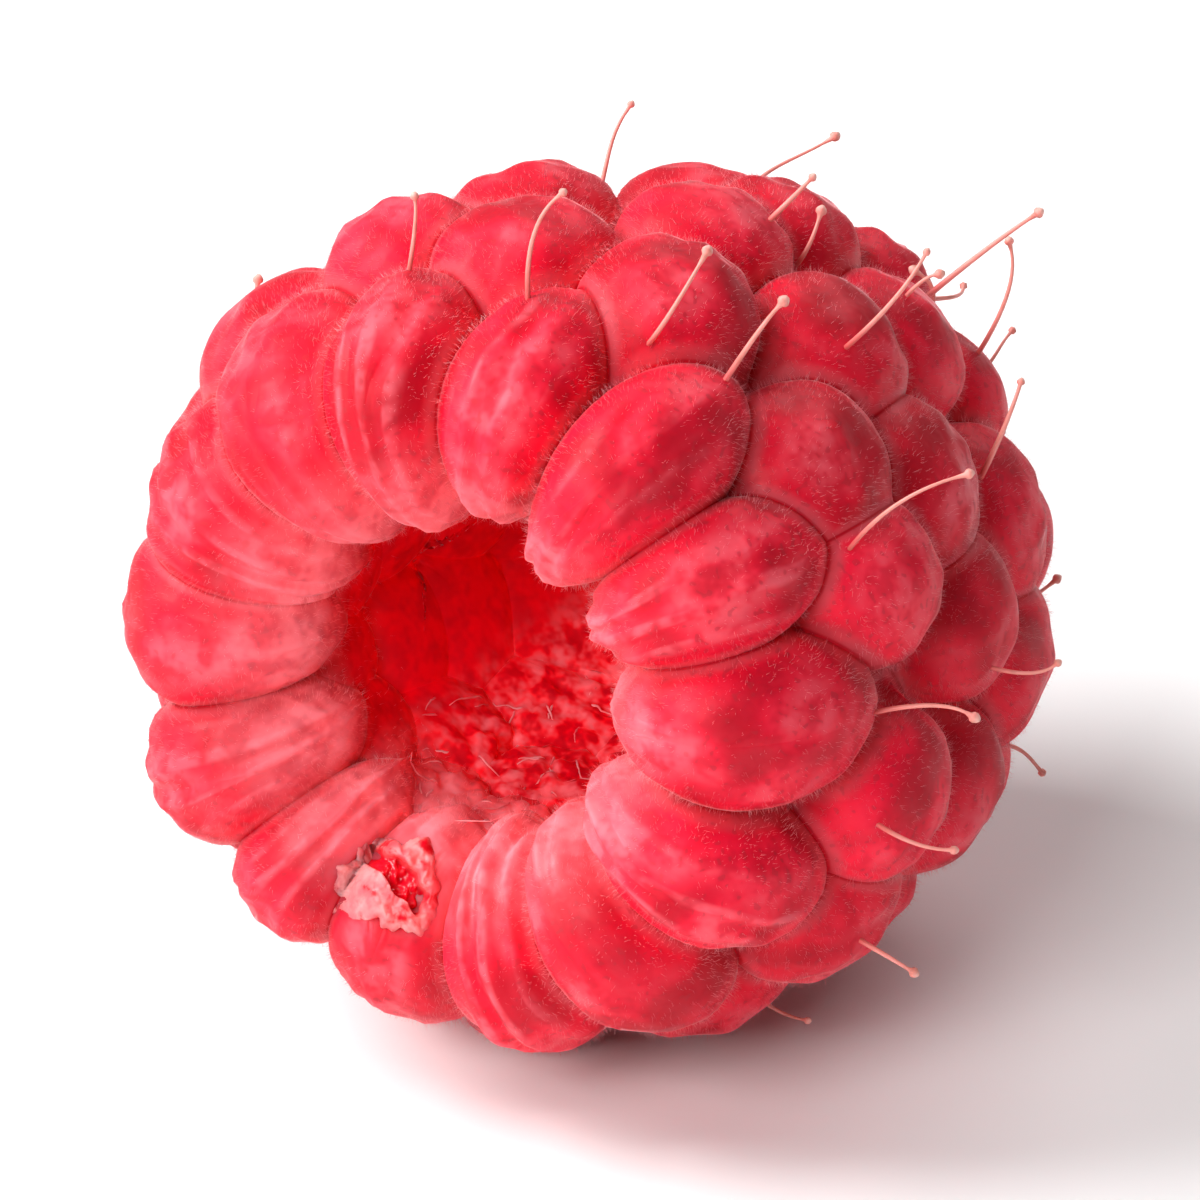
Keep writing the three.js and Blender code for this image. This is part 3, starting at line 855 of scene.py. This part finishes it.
def grow_styles():
    rng = np.random.default_rng(41)
    lines = [seen_style(foot, knob) for foot, knob in STYLES_SEEN]
    draws = [rng.uniform(0, 1, 12) for _ in lines]
    for d in drupelets:
        draw = rng.uniform(0, 1, 12)
        top = lay_point(d["direction"], d["height"])
        over = lay_point(d["direction"], d["height"] + 1)
        hidden = (over - top) @ forward > -0.12  # the photograph shows where the others are
        if d["ring"] <= RIM and draw[0] < STYLE_SHARE and hidden and top[2] > LOWEST_STYLE:
            lines.append(unseen_style(d, draw))
            draws.append(draw)
    points, faces, along = [], [], []
    count = 0
    for line, draw in zip(lines, draws):
        for n in range(3, STYLE_STEPS):
            place, face_normal, _, _ = skin_tree.find_nearest(Vector(line[n]))
            off = (line[n] - np.array(place)) @ np.array(face_normal)
            if off < STYLE_CLEAR:
                line[n:] += np.array(face_normal) * (STYLE_CLEAR - off) * 0.7
        line[:, 2] = np.maximum(line[:, 2], 0.2)
        radii = STYLE_RADIUS * (1.15 - 0.5 * np.linspace(0, 1, STYLE_STEPS)) * (0.85 + 0.3 * draw[10])
        end = unit(line[-1] - line[-2])
        size = KNOB_RADIUS * (0.75 + 0.5 * draw[11])
        line = np.vstack([line[:-1], line[-1] + end * size * np.array([0, 0.4, 0.9, 1.4, 1.8])[:, None]])
        radii = np.concatenate([radii[:-1], size * np.array([0.5, 0.92, 1.0, 0.72, 0.3])])
        p, f = tube(line, radii, STYLE_SIDES)
        points.append(p)
        faces.append(f + count)
        count += len(p)
        along.append(np.concatenate([np.repeat(np.linspace(0, 1, len(line)), STYLE_SIDES), [0, 1]]))
    points = np.vstack(points)
    points[:, 2] = np.maximum(points[:, 2], 0)
    return points, np.vstack(faces), np.concatenate(along)


style_points, style_faces, style_along = grow_styles()
styles = mesh_piece("dried_styles", style_points, style_faces, style_material(), {"along": style_along})
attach(styles, "root")

# The core's fibres: when the berry was pulled off, the thin veins that fed each drupelet tore, and
# lie as pale strands along the wall of the hollow, most of them low on its right.
FIBRE_LENGTH = (0.5, 1.7)
FIBRE_RADIUS = 0.028
FIBRE_STEPS = 9
FIBRE_SIDES = 5
FIBRE_TRIES = 8  # for each cell of the wall; they take where the wall is pulpy


def fibre_material():
    material, bsdf = new_material("core_fibre")
    w = Wiring(material.node_tree)
    tone = w.place(mottle, "Patches", Scale=1500)
    w.put(bsdf.inputs["Base Color"], w.mix(tone, (0.86, 0.1, 0.13, 1), (0.93, 0.3, 0.32, 1)))
    w.put(bsdf.inputs["Roughness"], w.span(tone, 0.0, 1.0, 0.6, 0.8))
    let_light_in(bsdf, 0.5, (1.0, 0.5, 0.4), 0.0002)
    return material


def grow_fibres():
    rng = np.random.default_rng(63)
    points, faces = [], []
    count = 0
    for d in drupelets:
        if d["ring"] <= RIM:
            continue
        for _ in range(FIBRE_TRIES):
            draw = rng.uniform(-1, 1, 9)
            direction = unit(d["direction"] + 0.9 * draw[0] * d["tipward"] * d["half"][0]
                             + 0.9 * draw[1] * d["sideways"] * d["half"][1])
            near = lay_point(direction, 0.3)
            if draw[2] > 2 * pulpiness(near) - 0.98:
                continue
            place, normal, _, _ = skin_tree.find_nearest(Vector(near))
            place, normal = np.array(place), np.array(normal)
            mouthward = unit(np.array([0, -1.0, 0]) - normal * -normal[1])
            side = np.cross(normal, mouthward)
            heading = normal * 0.15 * draw[3] + mouthward * (0.7 + 0.6 * draw[4]) + side * 1.1 * draw[5]
            length = FIBRE_LENGTH[0] + (FIBRE_LENGTH[1] - FIBRE_LENGTH[0]) * (draw[6] / 2 + 0.5) ** 1.5
            t = np.linspace(0, 1, FIBRE_STEPS)[:, None]
            curl = side * 0.6 * draw[7] * length + normal * (0.4 * draw[8] - 0.2) * length
            line = place - normal * 0.04 + unit(heading) * length * t + curl * t * t
            for m in range(1, FIBRE_STEPS):
                under, under_normal, _, _ = skin_tree.find_nearest(Vector(line[m]))
                off = (line[m] - np.array(under)) @ np.array(under_normal)
                line[m] += np.array(under_normal) * (min(max(off, 0.0), 0.05 + 0.012 * m) - off)
            radii = FIBRE_RADIUS * (1.3 - 0.9 * t[:, 0])
            p, f = tube(line, radii, FIBRE_SIDES)
            points.append(p)
            faces.append(f + count)
            count += len(p)
    return np.vstack(points), np.vstack(faces)


fibres = mesh_piece("core_fibres", *grow_fibres(), fibre_material())
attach(fibres, "root")

# The down: very fine short hairs all over the outside, thickest where a drupelet turns away to its
# crease. They are too fine to see one by one, and soften each drupelet's edge.
DOWN_PATCHES = 2
DOWN_HAIRS = 34000
DOWN_LENGTH = (0.09, 0.2)
DOWN_WIDTH = 0.007
DOWN_LEAN = 0.4
DOWN_ROOTED = 0.02


def down_material():
    material, bsdf = new_material("pale_down")
    w = Wiring(material.node_tree)
    tone = w.place(mottle, "Patches", Scale=900, Detail=0, From=0.3, To=0.7)
    w.put(bsdf.inputs["Base Color"], w.mix(tone, (0.93, 0.2, 0.24, 1), (0.97, 0.42, 0.45, 1)))
    w.put(bsdf.inputs["Roughness"], w.span(tone, 0.0, 1.0, 0.45, 0.6))
    return material


down_look = down_material()
vertex_normal, face_area = surface_normals(flesh_points, flesh_faces)
face_share = share[flesh_faces].mean(-1)
face_rise = patch_rise[flesh_faces].mean(-1)
downy = face_area * (0.12 + 1.2 * (1 - face_rise) ** 1.6) * np.clip((0.76 - face_share) / 0.08, 0, 1)
downy *= np.clip((face_rise - 0.03) / 0.1, 0, 1)  # none grows in the crease itself
downy *= (flesh_points[flesh_faces][:, :, 2].min(-1) > 0.05) * (torn[flesh_faces].max(-1) == 0)


def grow_down(seed):
    rng = np.random.default_rng(seed)
    face = rng.choice(len(flesh_faces), DOWN_HAIRS, p=downy / downy.sum())
    a, b = rng.uniform(0, 1, (2, DOWN_HAIRS))
    a, b = np.where(a + b > 1, 1 - a, a), np.where(a + b > 1, 1 - b, b)
    weights = np.stack([1 - a - b, a, b], -1)[..., None]
    root = (flesh_points[flesh_faces[face]] * weights).sum(1)
    normal = unit((vertex_normal[flesh_faces[face]] * weights).sum(1))
    lean = rng.normal(size=(DOWN_HAIRS, 3)) * DOWN_LEAN
    heading = unit(normal + lean)
    length = (rng.uniform(*DOWN_LENGTH, DOWN_HAIRS) * (1 + 0.7 * (1 - face_rise[face]) ** 3))[:, None]
    side = unit(np.cross(heading, rng.normal(size=(DOWN_HAIRS, 3))))
    over = np.cross(heading, side)
    base = root - normal * DOWN_ROOTED
    ring = [base + DOWN_WIDTH / 2 * (math.cos(t) * side + math.sin(t) * over) for t in (0, 2.1, 4.2)]
    points = np.stack([*ring, root + heading * length], 1)
    points[..., 2] = np.maximum(points[..., 2], 0)
    hair = np.array([[0, 1, 3], [1, 2, 3], [2, 0, 3], [0, 2, 1]])
    faces = hair[None] + 4 * np.arange(DOWN_HAIRS)[:, None, None]
    return points.reshape(-1, 3), faces.reshape(-1, 3)


for patch in range(DOWN_PATCHES):
    down = mesh_piece(f"down_{patch + 1}", *grow_down(100 + patch), down_look)
    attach(down, "root")

# The stage: a plain white table top under soft studio light, the strongest from the front left.
floor_mesh = bpy.data.meshes.new("table_top")
floor_mesh.from_pydata([(-3, -3, 0), (3, -3, 0), (3, 3, 0), (-3, 3, 0)], [], [(0, 1, 2, 3)])
floor = bpy.data.objects.new("table_top", floor_mesh)
bpy.context.scene.collection.objects.link(floor)
floor_look, floor_bsdf = new_material("white_table")
floor_wiring = Wiring(floor_look.node_tree)
grain = floor_wiring.place(mottle, "Grain", Scale=40)
white = floor_wiring.mix(grain, (0.9, 0.9, 0.9, 1), (0.93, 0.93, 0.93, 1))
floor_wiring.put(floor_bsdf.inputs["Base Color"], white)
floor_bsdf.inputs["Roughness"].default_value = 0.6
floor_mesh.materials.append(floor_look)


def soft_light(name, place, size, power):
    data = bpy.data.lights.new(name, "AREA")
    data.shape = "RECTANGLE"
    data.size, data.size_y = size
    data.energy = power
    lamp = bpy.data.objects.new(name, data)
    lamp.location = place
    lamp.rotation_euler = (Vector(aim * MM) - Vector(place)).to_track_quat("-Z", "Y").to_euler()
    bpy.context.scene.collection.objects.link(lamp)


soft_light("left_softbox", (-0.38, -0.14, 0.38), (0.32, 0.32), 4.2)
soft_light("front_softbox", (-0.02, -0.45, 0.3), (0.3, 0.2), 2.1)
soft_light("back_softbox", (-0.05, 0.4, 0.35), (0.4, 0.25), 1.0)
world = bpy.data.worlds.new("studio")
world.use_nodes = True
world.node_tree.nodes["Background"].inputs["Color"].default_value = (1, 1, 1, 1)
world.node_tree.nodes["Background"].inputs["Strength"].default_value = 0.15
bpy.context.scene.world = world
bpy.context.scene.view_settings.view_transform = "Standard"
